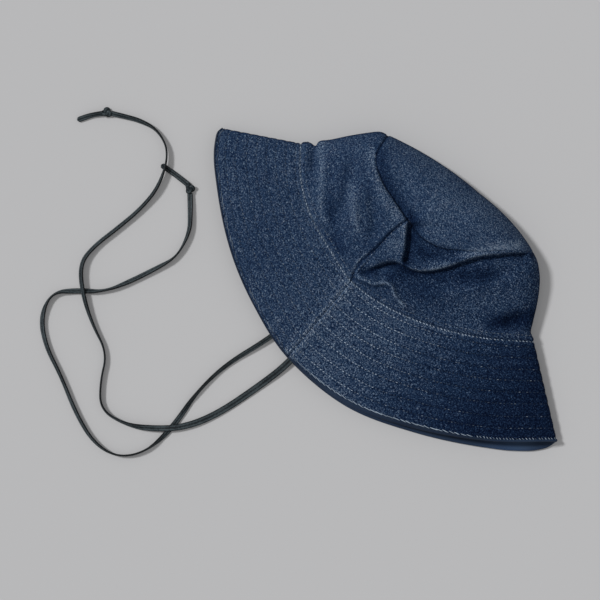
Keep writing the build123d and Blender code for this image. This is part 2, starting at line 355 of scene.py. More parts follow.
# Distance along each row, from its start and from the side seams of the upper and the lower layer
ROW_RUN = np.concatenate([np.zeros((LAST + 1, 1)),
                          np.cumsum(np.linalg.norm(np.diff(NET, axis=1), axis=2), axis=1)], axis=1)
FROM_SIDE_SEAM = ROW_RUN - ROW_RUN[:, ROUND // 2:ROUND // 2 + 1]
FROM_LOWER_SEAM = np.minimum(ROW_RUN, ROW_RUN[:, -1:] - ROW_RUN)
ON_TOP = np.zeros(ROUND, bool)
ON_TOP[ROUND // 4:ROUND - ROUND // 4] = True


def groove(distance, shape):
    depth, width = shape
    return depth * bump_at(distance, width)


def tip_seam_depth():
    """How sharp the tip's seam is: it flattens out towards the fold at +X."""
    return 1 - TIP_SEAM_FLATTER * smooth(*TIP_SEAM_FLATTENS, NET[:, :, 0])


def fine_lift():
    """Small ups and downs of the outer cloth: stitch grooves, the welt over the seam, seam lines."""
    lift = np.zeros(NET.shape[:2])
    brim, crown = FROM_SEAM <= 0, FROM_SEAM >= 0
    for share in BRIM_STITCH_ROWS:
        lift -= groove(FROM_SEAM + share * BRIM_WIDTH, STITCH_GROOVE) * brim
    lift -= groove(FROM_SEAM + BRIM_WIDTH - HEM, HEM_GROOVE) * brim
    lift -= groove(FROM_SEAM, SEAM_GROOVE)
    lift += WELT_RISE * smooth(0, WELT_FOOT, FROM_SEAM) * (1 - smooth(*WELT_EDGE, FROM_SEAM)) * crown
    lift -= groove(FROM_SEAM - WELT + WELT_STITCH_INSET, WELT_GROOVE) * crown
    lift -= groove(FROM_SEAM - SIDE_WIDTH, TIP_SEAM_GROOVE) * tip_seam_depth()
    for away in (np.abs(FROM_SIDE_SEAM), FROM_LOWER_SEAM):
        lift += brim * (ALLOWANCE_RISE * (1 - smooth(*ALLOWANCE_EDGE, away)) - groove(away, SIDE_SEAM_GROOVE)
                        - groove(away - SIDE_STITCH_AWAY, SIDE_STITCH_GROOVE))
    lift -= (crown & (FROM_SEAM < SIDE_WIDTH)) * groove(FROM_LOWER_SEAM, LOWER_SEAM_GROOVE)
    return lift


LIFT = fine_lift()

# How pale the denim is, from 0 (dark and clean) to 1: paler where it is rubbed, darker where shade is painted
# into folds, under overhangs and on parts that face away from the light, and paler with a painted highlight
# on the tip's dome. Each part of the hat differs from PLAIN_DENIM by an amount; where the change comes on
# gradually, a pair says from where to where in x
PLAIN_DENIM = 0.42
BRIM_PALER, BRIM_PALEST_AT, BRIM_PALE_REACH = 0.12, -2, 50
# BRIM_DARKER darkens the brim towards +X: cleaner cloth, and painted shade where the brim slopes away from
# the light.
BRIM_DARKER, BRIM_DARKENS = 0.83, (28, 165)
ROWS_DARKER, ROWS_DARKEN, ROWS_HALF_WIDTH = 0.30, (-20, 60), 1.5
# SIDE_DARKER darkens the crown's side towards +X: cleaner cloth, and painted shade where it faces away from
# the light.
SIDE_DARKER, SIDE_DARKENS = 0.10, (-30, 10)
# SEAM_DARKER is the welt's painted shadow just above the brim's seam, deeper towards +X.
SEAM_DARKER, SEAM_DARKENS, SEAM_DARKEST_AT, SEAM_HALF_WIDTH = 0.35, (-40, 20), 1.2, 0.9
TIP_PALER = 0.10
# TIP_SEAM_DARKER is painted shade in the groove of the tip's seam.
TIP_SEAM_DARKER, TIP_SEAM_HALF_WIDTH = 0.8, 0.9
FOLDS_DARKER, FOLDS_HALF_WIDTH = 0.5, 1.1
WEAR_AND_SHADING_LIMITS = -0.5, 1.2

# Lines that are rubbed paler, lines of painted shade, and a painted highlight: line, amount, half width on
# the left and on the right
WORN_AND_SHADED_LINES = [
    ([(2, 18.5), (9, 21.5), (14, 26.5), (20, 35), (26, 45)], 0.55, 2.2, 0.8),
    ([(13, 33), (22, 48), (31, 62), (42, 78), (53, 93)], 0.50, 4.5, 4.5),
    # The dark entries for RIDGE and FLAP_EDGE, and the line under the flap, are painted shade under these
    # overhangs.
    (RIDGE, 0.45, 2.2, 0.5), (RIDGE, -0.65, 0.6, 3.2),
    (FLAP_EDGE, 0.15, 3.5, 0.3), (FLAP_EDGE, -1.0, 0.8, 5.5),
    ([(-26, -13), (-21, -8), (-18, -3)], -0.55, 3.2, 3.2),
    (WELT_RIDGE[:-2], 0.78, 1.4, 1.4),
    # Painted shade between the welt and the brim's seam.
    ([(-24, -19), (-15, -16), (-7, -10)], -0.35, 2.0, 2.0),
    # The dark entry for TIP_SEAM_LEFT is painted shade below the step at the seam, and the dark line on
    # CROWN_SIDE_SEAM is painted shade in its groove.
    (TIP_SEAM_LEFT, 0.25, 4.5, 0.8), (TIP_SEAM_LEFT, -0.60, 0.5, 8.0),
    (CROWN_SIDE_SEAM, -1.0, 0.9, 0.9),
    ([(-32.4, 3), (-32.6, -5), (-31.6, -12), (-29.5, -17)], 0.8, 0.9, 0.9),
    (SEAM_ROW, 0.24, 2.0, 2.5),
    ([(-122, 44), (-100, 20), (-84, 3), (-66, -4)], 0.34, 3.5, 3.5),
    ([(-25, -24), (-22, -63), (-20, -104)], 0.26, 5.5, 5.5),
    ([(-88, 66), (-80, 58), (-66, 50), (-52, 44), (-36, 41)], 0.30, 4.0, 4.0),
    ([(-78, 33), (-63, 20), (-50, 10)], 0.36, 3.5, 3.5),
    ([(-20, 22), (-17, 30), (-24, 38)], 0.34, 7.0, 7.0),
    # The dark lines from here to the end of the table are painted shade in the soft folds' valleys and dips,
    # below the ridge and on cloth that faces away from the light.
    ([(-98, 48), (-84, 30), (-72, 10)], -0.08, 5.0, 5.0),
    ([(-84, 14), (-66, -2), (-50, -10)], -0.32, 6.0, 6.0),
    ([(-64, 40), (-46, 26), (-36, 8)], -0.12, 5.0, 5.0),
    ([(-12, 38), (0, 36), (12, 42), (24, 52)], -0.42, 6.0, 6.0),
    ([(-4, 8), (16, 22), (33, 35.3), (50, 54)], -0.34, 8.0, 8.0),
    ([(-2, 2), (14, 6), (30, 14)], -0.22, 8.0, 8.0),
    ([(52, 28), (66, 42), (80, 52)], 0.12, 12.0, 12.0),
    ([(34, 42), (43, 50), (54, 62)], -0.28, 5.0, 5.0),
    # Painted highlight on the tip's dome.
    ([(-8, 80), (6, 88), (20, 96)], 0.12, 14.0, 14.0),
    ([(0, 31), (12, 37), (24, 48)], -0.30, 5.0, 5.0),
    ([(84, 34), (94, 47), (104, 60)], -0.85, 6.5, 6.5),
]


def wear_and_shading_map():
    """How pale the denim is at each point of the net: paler where rubbed, darker with painted shade, paler
    with a painted highlight.
    """
    x = NET[:, :, 0]
    brim = FROM_SEAM <= 0
    wear_and_shading = np.full(NET.shape[:2], PLAIN_DENIM)
    wear_and_shading += brim * BRIM_PALER * bump_at(x - BRIM_PALEST_AT, BRIM_PALE_REACH)
    # Painted shade, with cleaner cloth, on the brim and the side where they face away from the light.
    wear_and_shading -= brim * BRIM_DARKER * smooth(*BRIM_DARKENS, x)
    wear_and_shading -= (~brim & (FROM_SEAM < SIDE_WIDTH)) * SIDE_DARKER * smooth(*SIDE_DARKENS, x)
    wear_and_shading += (FROM_SEAM > SIDE_WIDTH) * TIP_PALER
    # The welt's painted shadow along the seam.
    wear_and_shading -= SEAM_DARKER * bump_at(FROM_SEAM - SEAM_DARKEST_AT, SEAM_HALF_WIDTH) * smooth(*SEAM_DARKENS, x)
    for share in BRIM_STITCH_ROWS:
        row = bump_at(FROM_SEAM + share * BRIM_WIDTH, ROWS_HALF_WIDTH)
        wear_and_shading -= brim * ROWS_DARKER * smooth(*ROWS_DARKEN, x) * row
    flat = NET[:, ON_TOP, :2].reshape(-1, 2)
    marks = np.zeros(len(flat))
    for line, amount, left, right in WORN_AND_SHADED_LINES:
        points = [point[1:3] for point in line] if line is SEAM_ROW else line
        d, _, side = line_distance(flat, smooth_line(points, 4))
        marks += amount * bump_at(d, np.where(side > 0, left, right))
    folds = [NET[:, ROUND // 4, :2], NET[:, 3 * ROUND // 4, :2]]
    for fold in folds:
        d, _, _ = line_distance(flat, fold[::3])
        marks -= FOLDS_DARKER * bump_at(d, FOLDS_HALF_WIDTH)
    wear_and_shading[:, ON_TOP] += marks.reshape(NET.shape[0], -1)
    # Painted shade in the tip seam's groove.
    wear_and_shading -= TIP_SEAM_DARKER * bump_at(FROM_SEAM - SIDE_WIDTH, TIP_SEAM_HALF_WIDTH) * tip_seam_depth()
    return np.clip(wear_and_shading, *WEAR_AND_SHADING_LIMITS)


# How strong the denim's pale and dark specks are. On the brim and the side they rise from these values to 1,
# between two places in x, and a worn side has more of them
BRIM_GRAIN, BRIM_GRAIN_RISES = 0.84, (-70, -20)
SIDE_GRAIN, SIDE_GRAIN_RISES = 0.78, (-25, 20)
WORN_GRAIN, WORN_FROM, WORN_SPAN = 0.5, 0.55, 0.3
TIP_GRAIN = 0.74


def grain_map():
    """How strong the specks are at each point of the net."""
    x = NET[:, :, 0]
    brim = BRIM_GRAIN + (1 - BRIM_GRAIN) * smooth(*BRIM_GRAIN_RISES, x)
    side = SIDE_GRAIN + (1 - SIDE_GRAIN) * smooth(*SIDE_GRAIN_RISES, x)
    side = side + WORN_GRAIN * np.clip(WEAR_AND_SHADING - WORN_FROM, 0, WORN_SPAN)
    grain = np.where(FROM_SEAM <= 0, brim, side)
    return np.where(FROM_SEAM > SIDE_WIDTH, TIP_GRAIN, grain)


WEAR_AND_SHADING = wear_and_shading_map()
GRAIN = grain_map()


# ---------------------------------------------------------------- mesh helpers

def grid_faces(rows_count, columns):
    i = (np.arange(rows_count - 1)[:, None] * columns + np.arange(columns - 1)[None, :]).ravel()
    return np.c_[i, i + 1, i + columns + 1, i + columns]


def place_in_scene(name, data):
    obj = bpy.data.objects.new(name, data)
    bpy.context.scene.collection.objects.link(obj)
    return obj


def add_mesh(name, verts, faces, mat):
    mesh = bpy.data.meshes.new(name)
    mesh.from_pydata((verts * MM).tolist(), [], faces if isinstance(faces, list) else faces.tolist())
    mesh.validate()
    mesh.polygons.foreach_set("use_smooth", [True] * len(mesh.polygons))
    mesh.update()
    obj = place_in_scene(name, mesh)
    mesh.materials.append(mat)
    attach(obj, ROOT)
    return obj


def ring_faces(first, second, count):
    """The faces between two rings of a count of points, where the rings start at these points."""
    return [(first + k, first + (k + 1) % count, second + (k + 1) % count, second + k) for k in range(count)]


def add_uv(obj, places):
    layer = obj.data.uv_layers.new(name="weave")
    corner = np.empty(len(obj.data.loops), dtype=np.int32)
    obj.data.loops.foreach_get("vertex_index", corner)
    layer.data.foreach_set("uv", places[corner].ravel())


def add_value(obj, name, values):
    attribute = obj.data.attributes.new(name, "FLOAT", "POINT")
    attribute.data.foreach_set("value", values)


def shell(name, outer, inner, mat, uv, wear_and_shading):
    """A closed cloth: an outer and an inner grid, joined round their rim."""
    rows_count, columns = outer.shape[:2]
    count = rows_count * columns
    front = grid_faces(rows_count, columns)
    index = np.arange(count).reshape(rows_count, columns)
    rim = np.concatenate([index[0, :-1], index[:-1, -1], index[-1, :0:-1], index[:0:-1, 0]])
    following = np.roll(rim, -1)
    faces = np.vstack([front, front[:, ::-1] + count, np.c_[following, rim, rim + count, following + count]])
    obj = add_mesh(name, np.vstack([outer.reshape(-1, 3), inner.reshape(-1, 3)]) + HAT_PLACE, faces, mat)
    add_uv(obj, np.tile(uv.reshape(-1, 2), (2, 1)))
    add_value(obj, "wear_and_shading", np.tile(wear_and_shading.ravel(), 2))
    return obj


# ---------------------------------------------------------------- materials

class Cloth:
    """A node material whose pattern follows the cloth's own UV places, in mm, or else the object's, in m."""

    def __init__(self, name, roughness, specular=0.2, uv=True):
        self.material = bpy.data.materials.new(name)
        self.material.use_nodes = True
        self.tree = self.material.node_tree
        self.shader = self.tree.nodes["Principled BSDF"]
        self.shader.inputs["Roughness"].default_value = roughness
        self.shader.inputs["Specular IOR Level"].default_value = specular
        self.solid = self.add("TexCoord", {}).outputs["Object"]
        self.places = self.add("UVMap", {}, uv_map="weave").outputs["UV"] if uv else self.solid

    def link(self, value, socket):
        if isinstance(value, (int, float)):
            socket.default_value = value
        elif isinstance(value, tuple):
            socket.default_value = value if socket.type == "VECTOR" else (*value, 1)
        else:
            self.tree.links.new(value, socket)

    def add(self, kind, inputs, **settings):
        """A new node with its settings and inputs; an input is a number, a colour, a vector or a link."""
        node = self.tree.nodes.new("ShaderNode" + kind)
        for name, value in settings.items():
            setattr(node, name, value)
        for name, value in inputs.items():
            self.link(value, node.inputs[name])
        return node

    def mapped(self, scale, turn=0.0, kind="POINT"):
        """Places for a pattern that is this many times finer along each axis and then turned, or, with the
        kind TEXTURE, this many times larger along and across the turned direction."""
        inputs = {"Vector": self.places, "Scale": scale, "Rotation": (0, 0, turn)}
        return self.add("Mapping", inputs, vector_type=kind).outputs["Vector"]

    def noise(self, scale, detail=1.0, rough=0.5, places=None):
        inputs = {"Vector": places or self.places, "Scale": scale, "Detail": detail, "Roughness": rough}
        return self.add("TexNoise", inputs).outputs["Fac"]

    def wave(self, scale, distortion, detail, places=None):
        inputs = {"Vector": places or self.places, "Scale": scale, "Distortion": distortion, "Detail": detail}
        return self.add("TexWave", inputs).outputs["Fac"]

    def attribute(self, name):
        return self.add("Attribute", {}, attribute_name=name).outputs["Fac"]

    def math(self, kind, a, b):
        return self.add("Math", {0: a, 1: b}, operation=kind).outputs[0]

    def weigh(self, *terms):
        """A sum of each value, less its middle, times its weight."""
        total = None
        for value, middle, weight in terms:
            part = self.math("MULTIPLY", self.math("SUBTRACT", value, middle), weight)
            total = part if total is None else self.math("ADD", total, part)
        return total

    def span(self, value, low, high):
        inputs = {"Value": value, "From Min": low, "From Max": high}
        return self.add("MapRange", inputs).outputs["Result"]

    def mix(self, share, a, b, blend="MIX"):
        return self.add("Mix", {0: share, 6: a, 7: b}, data_type="RGBA", blend_type=blend).outputs[2]

    def multiply(self, a, b):
        return self.mix(1.0, a, b, "MULTIPLY")

    def ramp(self, value, *stops):
        node = self.add("ValToRGB", {"Fac": value})
        band = node.color_ramp.elements
        while len(band) < len(stops):
            band.new(0.5)
        for element, (position, colour) in zip(band, stops):
            element.position = position
            element.color = (*colour, 1)
        return node.outputs["Color"]

    def bump(self, height, strength, distance):
        node = self.add("Bump", {"Height": height, "Strength": strength, "Distance": distance})
        self.link(node.outputs["Normal"], self.shader.inputs["Normal"])

    def colour(self, value):
        self.link(value, self.shader.inputs["Base Color"])


def denim():
    m = Cloth("denim", 0.9, 0.05)
    speck = m.noise(900, 0.8, 0.6, m.solid)
    fine = m.noise(1500, 1.0, 0.5, m.solid)
    slub = m.noise(0.6, 1.0, 0.5, m.mapped((0.3, 1.3, 1)))
    cloud = m.noise(28, 2.0, 0.5, m.solid)
    streak = m.noise(1.0, 1.0, 0.5, m.mapped((4.0, 0.9, 1.0), math.radians(133.5), "TEXTURE"))
    twill = m.wave(0.36, 1.2, 1.0, m.mapped((1, 1, 1), math.radians(60)))
    # This attribute carries the denim's rubbed paleness together with painted shade and a painted highlight.
    wear_and_shading_level = m.attribute("wear_and_shading")
    contrast = m.attribute("grain")
    grain = m.math("MULTIPLY", m.weigh((speck, 0.5, 1.45), (fine, 0.5, 1.25)), contrast)
    level = m.weigh((grain, 0.0, 1.0), (contrast, 1.0, -0.10), (streak, 0.5, 0.36), (slub, 0.5, 0.14),
                    (twill, 0.5, 0.08), (cloud, 0.5, 0.12), (wear_and_shading_level, PLAIN_DENIM, 0.42))
    colour = m.ramp(m.span(level, -0.5, 0.5), (0.0, (0.0008, 0.0038, 0.0165)),
                    (0.40, (0.0080, 0.0214, 0.0570)), (0.64, (0.0270, 0.0560, 0.1150)),
                    (1.0, (0.185, 0.245, 0.325)))
    rusty = m.mix(m.span(m.noise(300, 1.0, 0.5, m.solid), 0.45, 0.75), (1.0, 1.0, 1.0), (1.10, 0.99, 0.96))
    m.colour(m.multiply(colour, rusty))
    m.bump(level, 0.5, 0.0004)
    return m.material


PLAIN_WEAR = 0.25  # where a smooth cloth has just its own colour


def smooth_cloth(name, dark, light, roughness=0.55):
    """A cloth between two colours, made paler or darker by a value on each point, which under the brim holds
    painted light inside the opening.
    """
    m = Cloth(name, roughness, 0.15)
    weave = m.weigh((m.noise(1.6, 1.5), 0.5, 1.0), (m.noise(0.05, 2.0), 0.5, 0.8))
    paleness = m.mix(m.attribute("wear_and_shading"), (0.2, 0.2, 0.2), (3.9, 3.4, 2.9))
    m.colour(m.multiply(m.mix(m.span(weave, -0.22, 0.22), dark, light), paleness))
    m.bump(weave, 0.25, 0.0002)
    return m.material


def grosgrain():
    m = Cloth("grosgrain", 0.75)
    rib = m.wave(0.25, 0.3, 2.0)
    m.colour(m.mix(rib, (0.005, 0.008, 0.016), (0.014, 0.020, 0.034)))
    m.bump(rib, 0.6, 0.0003)
    return m.material


def thread():
    m = Cloth("thread", 0.6, uv=False)
    tone = m.weigh((m.attribute("tone"), 0.0, 1.0), (m.noise(600, 1.0), 0.5, 0.3))
    m.colour(m.mix(m.span(tone, 0.0, 1.0), (0.008, 0.020, 0.046), (0.48, 0.58, 0.70)))
    return m.material


def lace_cord():
    m = Cloth("lace", 0.6, 0.2, uv=False)
    # The tone attribute brings in the laces' painted light and shade: lit tops, shaded edges and groove.
    grain = m.weigh((m.noise(900, 2.0), 0.5, 1.0), (m.noise(60, 2.0), 0.5, 0.6),
                    (m.attribute("tone"), 0.40, 0.58))
    m.colour(m.ramp(m.span(grain, -0.35, 0.35), (0.0, (0.0020, 0.0030, 0.0042)),
                    (0.5, (0.0108, 0.0155, 0.0195)), (1.0, (0.055, 0.072, 0.080))))
    m.bump(grain, 0.4, 0.0002)
    return m.material


DENIM_CLOTH = denim()
UNDER_CLOTH = smooth_cloth("under_brim_cloth", (0.0105, 0.025, 0.064), (0.019, 0.040, 0.089), roughness=0.5)
LINING_CLOTH = smooth_cloth("lining_cloth", (0.007, 0.013, 0.028), (0.014, 0.024, 0.048))
STIFF_CLOTH = smooth_cloth("interlining_cloth", (0.50, 0.48, 0.42), (0.66, 0.64, 0.58))
BAND_CLOTH = grosgrain()
LACE = lace_cord()
THREAD = thread()

# ---------------------------------------------------------------- cloth pieces

def weave_places(rows, columns, flat):
    """Places on the cloth in mm: as it lies for the brim and the tip, along and up for the side."""
    part = NET[rows, columns]
    if flat:
        return part[:, :, :2].copy()
    run = ROW_RUN[(SEAM_AT + TIP_AT) // 2, columns]
    return np.stack(np.broadcast_arrays(run[None, :], FROM_SEAM[rows]), axis=2)


def cloth(node, rows, columns, start, thickness, mat, flat=True, lifted=False):
    """One cut piece, a closed shell that starts at a depth under the hat's outer face. Its weave lies flat
    or runs along the rows, and only the outermost pieces are lifted by their seams and stitches."""
    points, normals = NET[rows, columns], NORMALS[rows, columns]
    outer = points - normals * start
    if lifted:
        outer = outer + normals * LIFT[rows, columns][:, :, None]
    inner = points - normals * (start + thickness)
    wear_and_shading = WEAR_AND_SHADING[rows, columns] if lifted else np.full(points.shape[:2], PLAIN_WEAR)
    obj = shell(node + "_cloth", outer, inner, mat, weave_places(rows, columns, flat), wear_and_shading)
    if lifted:
        add_value(obj, "grain", np.tile(GRAIN[rows, columns].ravel(), 2))
    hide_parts(node)


STACK = DENIM + INTERLINING + 2 * LAYER_GAP  # what the cloth under the brim wraps round

# How the cloth under the brim differs from PLAIN_WEAR: darker at the left, paler inside the opening at the
# right as painted light where the upper layer shades it, and darker along the middle of the hem
UNDER_DARKER, UNDER_DARK_ENDS = 0.12, (-40, 60)
OPENING_PAINTED_LIGHT, OPENING_AT, OPENING_REACH = 0.28, 164, 14
HEM_DARKER, HEM_DARKENS, HEM_DARK_ENDS = 0.12, (40, 90), (135, 160)
LAYERS_MEET = 6  # the height that is between the brim's two layers


def hem_narrowing(x):
    return 1 - HEM_NARROWER * smooth(*HEM_NARROWS, x)


def under_brim(half, columns):
    """The cloth under the brim, from the seam to the edge, round it and back over the top as the hem."""
    along_x = NET[1, columns, 0]
    grown = HEM_LEAST + (1 - HEM_LEAST) * smooth(*HEM_GROWS, along_x)
    hem_share = (grown * hem_narrowing(along_x))[:, None]
    edge, normal = NET[1, columns], NORMALS[1, columns]
    outward = unit(NET[0, columns] - edge)
    centre = edge - normal * STACK / 2
    sides = []
    for reach in (UNDER_BRIM + LAYER_GAP, LAYER_GAP):
        rings = [edge + (NET[r, columns] - edge) * hem_share + NORMALS[r, columns] * reach
                 for r in range(int(HEM_ROW), 0, -1)]
        for turn in np.radians((60, 30, 0, -30, -60)):
            rings.append(centre + (normal * np.sin(turn) + outward * np.cos(turn)) * (STACK / 2 + reach))
        rings += [NET[r, columns] - NORMALS[r, columns] * (STACK + reach) for r in range(1, SEAM_AT + 1)]
        sides.append(np.array(rings))
    places = sides[0][:, :, :2].copy()
    name = f"brim_under_{half}"
    x, height = sides[0][:, :, 0], sides[0][:, :, 2]
    wear_and_shading = PLAIN_WEAR - UNDER_DARKER * (1 - smooth(*UNDER_DARK_ENDS, x))
    # Painted light: paler inside the opening at the right, where the upper layer shades it.
    wear_and_shading += OPENING_PAINTED_LIGHT * bump_at(x - OPENING_AT, OPENING_REACH) * (height < LAYERS_MEET)
    wear_and_shading -= HEM_DARKER * smooth(*HEM_DARKENS, x) * (1 - smooth(*HEM_DARK_ENDS, x)) * (height > LAYERS_MEET)
    obj = shell(name + "_cloth", *sides, UNDER_CLOTH, places, wear_and_shading)
    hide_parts(name)


UNDER_DENIM = DENIM + LAYER_GAP
UNDER_LINING = UNDER_DENIM + LINING + LAYER_GAP
BRIM_TOP_ROWS, INTERLINING_ROWS = slice(1, SEAM_AT + 1), slice(2, SEAM_AT)
BAND_ROWS = slice(SEAM_AT + 2, SEAM_AT + 26)

for half, columns in (("front", FRONT), ("back", BACK)):
    cloth(f"brim_top_{half}", BRIM_TOP_ROWS, columns, 0, DENIM, DENIM_CLOTH,
          lifted=True)
    cloth(f"brim_interlining_{half}", INTERLINING_ROWS, columns, UNDER_DENIM,
          INTERLINING, STIFF_CLOTH)
    under_brim(half, columns)
    cloth(f"crown_side_{half}", SIDE, columns, 0, DENIM, DENIM_CLOTH, flat=False,
          lifted=True)
    cloth(f"lining_side_{half}", SIDE, columns, UNDER_DENIM, LINING, LINING_CLOTH,
          flat=False)
cloth("crown_tip", TIP, WHOLE, 0, DENIM, DENIM_CLOTH, lifted=True)
cloth("lining_tip", TIP, WHOLE, UNDER_DENIM, LINING, LINING_CLOTH)
cloth("sweatband", BAND_ROWS, WHOLE, UNDER_LINING, BAND, BAND_CLOTH, flat=False)

# ---------------------------------------------------------------- stitching

def along_row(row, first=0, last=None):
    """Points and normals along a row that may lie between two rows of the net."""
    low = int(row)
    share = row - low
    high = min(low + 1, LAST)
    points = NET[low] * (1 - share) + NET[high] * share
    normals = NORMALS[low] * (1 - share) + NORMALS[high] * share
    lift = LIFT[low] * (1 - share) + LIFT[high] * share
    return (points + normals * lift[:, None])[first:last], normals[first:last]


def along_seam(offset, first_row, last_row):
    """The same down the upper layer's side seam, at an offset along the rows."""
    points, normals = [], []
    for r in range(first_row, last_row):
        run = FROM_SIDE_SEAM[r]
        normal = at_places(offset, run, NORMALS[r])
        points.append(at_places(offset, run, NET[r]) + normal * np.interp(offset, run, LIFT[r]))
        normals.append(normal)
    return np.array(points), np.array(normals)


STITCH_SIDES = 6
STITCH_RINGS = ((-0.42, 0.7), (-0.2, 1), (0.2, 1), (0.42, 0.7))  # shares of the length and of the section
STITCH_FLATNESS = 0.62  # a stitch's height against its width
STITCH_SEAT = 0.3, 0.05  # its middle stands this share of its width above the cloth, less a depth
STITCH_STRAY, STITCH_TURN = 0.12, 0.12  # how unevenly they lie, in pitches and in radians
STITCH_SIZES = 0.85, 1.1  # their lengths against the usual one


def stitch_shape(length, width, height):
    """A stitch with round ends, its length along X."""
    n = STITCH_SIDES
    turn = np.arange(n) * 2 * np.pi / n
    ring = np.c_[np.zeros(n), np.cos(turn) * width / 2, np.sin(turn) * height / 2]
    rings = [ring * (1, scale, scale) + (x * length, 0, 0) for x, scale in STITCH_RINGS]
    verts = np.vstack([(-length / 2, 0, 0), *rings, (length / 2, 0, 0)])
    faces = [(0, 1 + (k + 1) % n, 1 + k) for k in range(n)]
    for ring_no in range(len(STITCH_RINGS) - 1):
        faces += ring_faces(1 + ring_no * n, 1 + (ring_no + 1) * n, n)
    last = len(verts) - 1
    faces += [(last, last - n + k, last - n + (k + 1) % n) for k in range(n)]
    return verts, faces


def stitches(lines, pitch, length, width, slant, tone, spread, rng):
    """Stitches along lines; each line is points and normals. Gives vertices, faces and tones.

    The tone is the thread's paleness, given as a function of x, and the spread is how much it varies."""
    shape, shape_faces = stitch_shape(length, width, width * STITCH_FLATNESS)
    rise = width * STITCH_SEAT[0] - STITCH_SEAT[1]
    verts, faces, tones = [], [], []
    for points, normals in lines:
        run = distances(points)
        places = np.arange(pitch / 2, run[-1], pitch)
        places = places + rng.uniform(-STITCH_STRAY, STITCH_STRAY, len(places)) * pitch
        at = at_places(places, run, points)
        along = unit(at_places(places + 0.5, run, points) - at)
        up = at_places(places, run, normals)
        up = unit(up - along * np.sum(up * along, axis=1, keepdims=True))
        across = np.cross(up, along)
        turn = np.radians(slant) + rng.uniform(-STITCH_TURN, STITCH_TURN, len(places))
        way = along * np.cos(turn)[:, None] + across * np.sin(turn)[:, None]
        side = across * np.cos(turn)[:, None] - along * np.sin(turn)[:, None]
        size = rng.uniform(*STITCH_SIZES, len(places))
        for k in range(len(places)):
            start = len(verts) * len(shape)
            axes = np.array([way[k] * size[k], side[k], up[k]])
            verts.append(at[k] + up[k] * rise + shape @ axes)
            faces += [tuple(start + i for i in face) for face in shape_faces]
        tones.append(np.clip(tone(at[:, 0]) + rng.normal(0, spread, len(places)), 0, 1))
    return np.vstack(verts), faces, np.repeat(np.concatenate(tones), len(shape))


def hem_line(first, last=None):
    """The line on the hem, near its own edge, between two columns."""
    (near, normals), (outer, _) = along_row(HEM_ROW, first, last), along_row(1, first, last)
    return outer + (near - outer) * hem_narrowing(near[:, 0])[:, None], normals


def sew(name, *row):
    """One piece for a row of stitches, or for several rows that are sewn alike."""
    verts, faces, tones = stitches(*row)
    obj = add_mesh(name, verts + HAT_PLACE, faces, THREAD)
    add_value(obj, "tone", tones)


BRIM_MIDDLE = 12  # in x


def plain_tone(tone):
    return lambda x: tone


def near_middle(low, high, width):
    """Paler in the middle of the brim than towards its ends."""
    return lambda x: low + (high - low) * bump_at(x - BRIM_MIDDLE, width)


def paler_to_right(low, high, start, end):
    return lambda x: low + (high - low) * smooth(start, end, x)


# Each row of stitches: name, lines, pitch, length and width of a stitch, its slant in degrees, tone, spread
rng = np.random.default_rng(11)
brim_lines = [along_row(SEAM_AT * (1 - share)) for share in BRIM_STITCH_ROWS]
sew("brim_stitching", brim_lines, 3.1, 1.7, 0.58, 8, near_middle(-0.05, 0.78, 44), 0.18, rng)
hem_turn = ROUND // 4 + int(np.argmax(NET[int(HEM_ROW), ROUND // 4:, 0] > HEM_TURNS))
sew("edge_stitching", [hem_line(0, hem_turn)], 5.2, 7.0, 0.62, -11, paler_to_right(0.08, 0.72, -50, 40),
    0.15, rng)
sew("corner_stitching", [hem_line(hem_turn)], 2.7, 3.3, 0.5, -48, near_middle(0.60, 0.8, 90), 0.16, rng)
sew("seam_stitching", [along_row(SEAM_AT - 0.5)], 3.0, 2.0, 0.7, -26, near_middle(0.50, 0.72, 80), 0.2, rng)
welt_line = along_row(SEAM_AT + (WELT - WELT_STITCH_INSET) * SIDE_STEPS / SIDE_WIDTH)
sew("welt_stitching", [welt_line], 3.4, 2.0, 0.5, 10, plain_tone(0.2), 0.14, rng)
side_lines = [along_seam(offset, 4, SEAM_AT - 1) for offset in (-SIDE_STITCH_AWAY, SIDE_STITCH_AWAY)]
sew("side_seam_stitching", side_lines, 3.6, 2.2, 0.6, 20, plain_tone(0.38), 0.28, rng)
crown_line = along_seam(-CROWN_STITCH_AWAY, SEAM_AT + 10, TIP_AT - 6)
sew("crown_seam_stitching", [crown_line], 3.4, 1.8, 0.5, 10, plain_tone(0.22), 0.2, rng)

# ---------------------------------------------------------------- laces
# x, y, height in mm, and the lace's turn about its own line in degrees: 0 lies flat, 90 stands on edge
UPPER_ROUTE = [
    (-22, -24, 4.5, 0), (-22, -50, 4.5, 0), (-18, -80, 4.5, 0), (-16, -108, 3.5, 5), (-21, -140, 1.4, 10),
    (-30, -180, 1.4, 12), (-43, -207, 3.4, 0), (-62, -226, 3.4, 5), (-80, -238, 1.4, 60),
    (-103, -243, 1.4, 78), (-119, -226, 1.4, 84), (-131, -205, 1.4, 84), (-157, -196, 1.4, 66),
    (-180, -183, 3.4, 45), (-198, -167, 3.4, 45), (-200, -149, 1.4, 50), (-196, -124, 1.4, 50),
    (-193, -98, 1.4, 55), (-195, -74, 3.4, 60), (-208, -49, 3.4, 88), (-227, -42, 1.4, 80),
    (-243, -46, 1.4, 50), (-256, -53, 1.8, 40), (-266, -59, 2.4, 20),
]
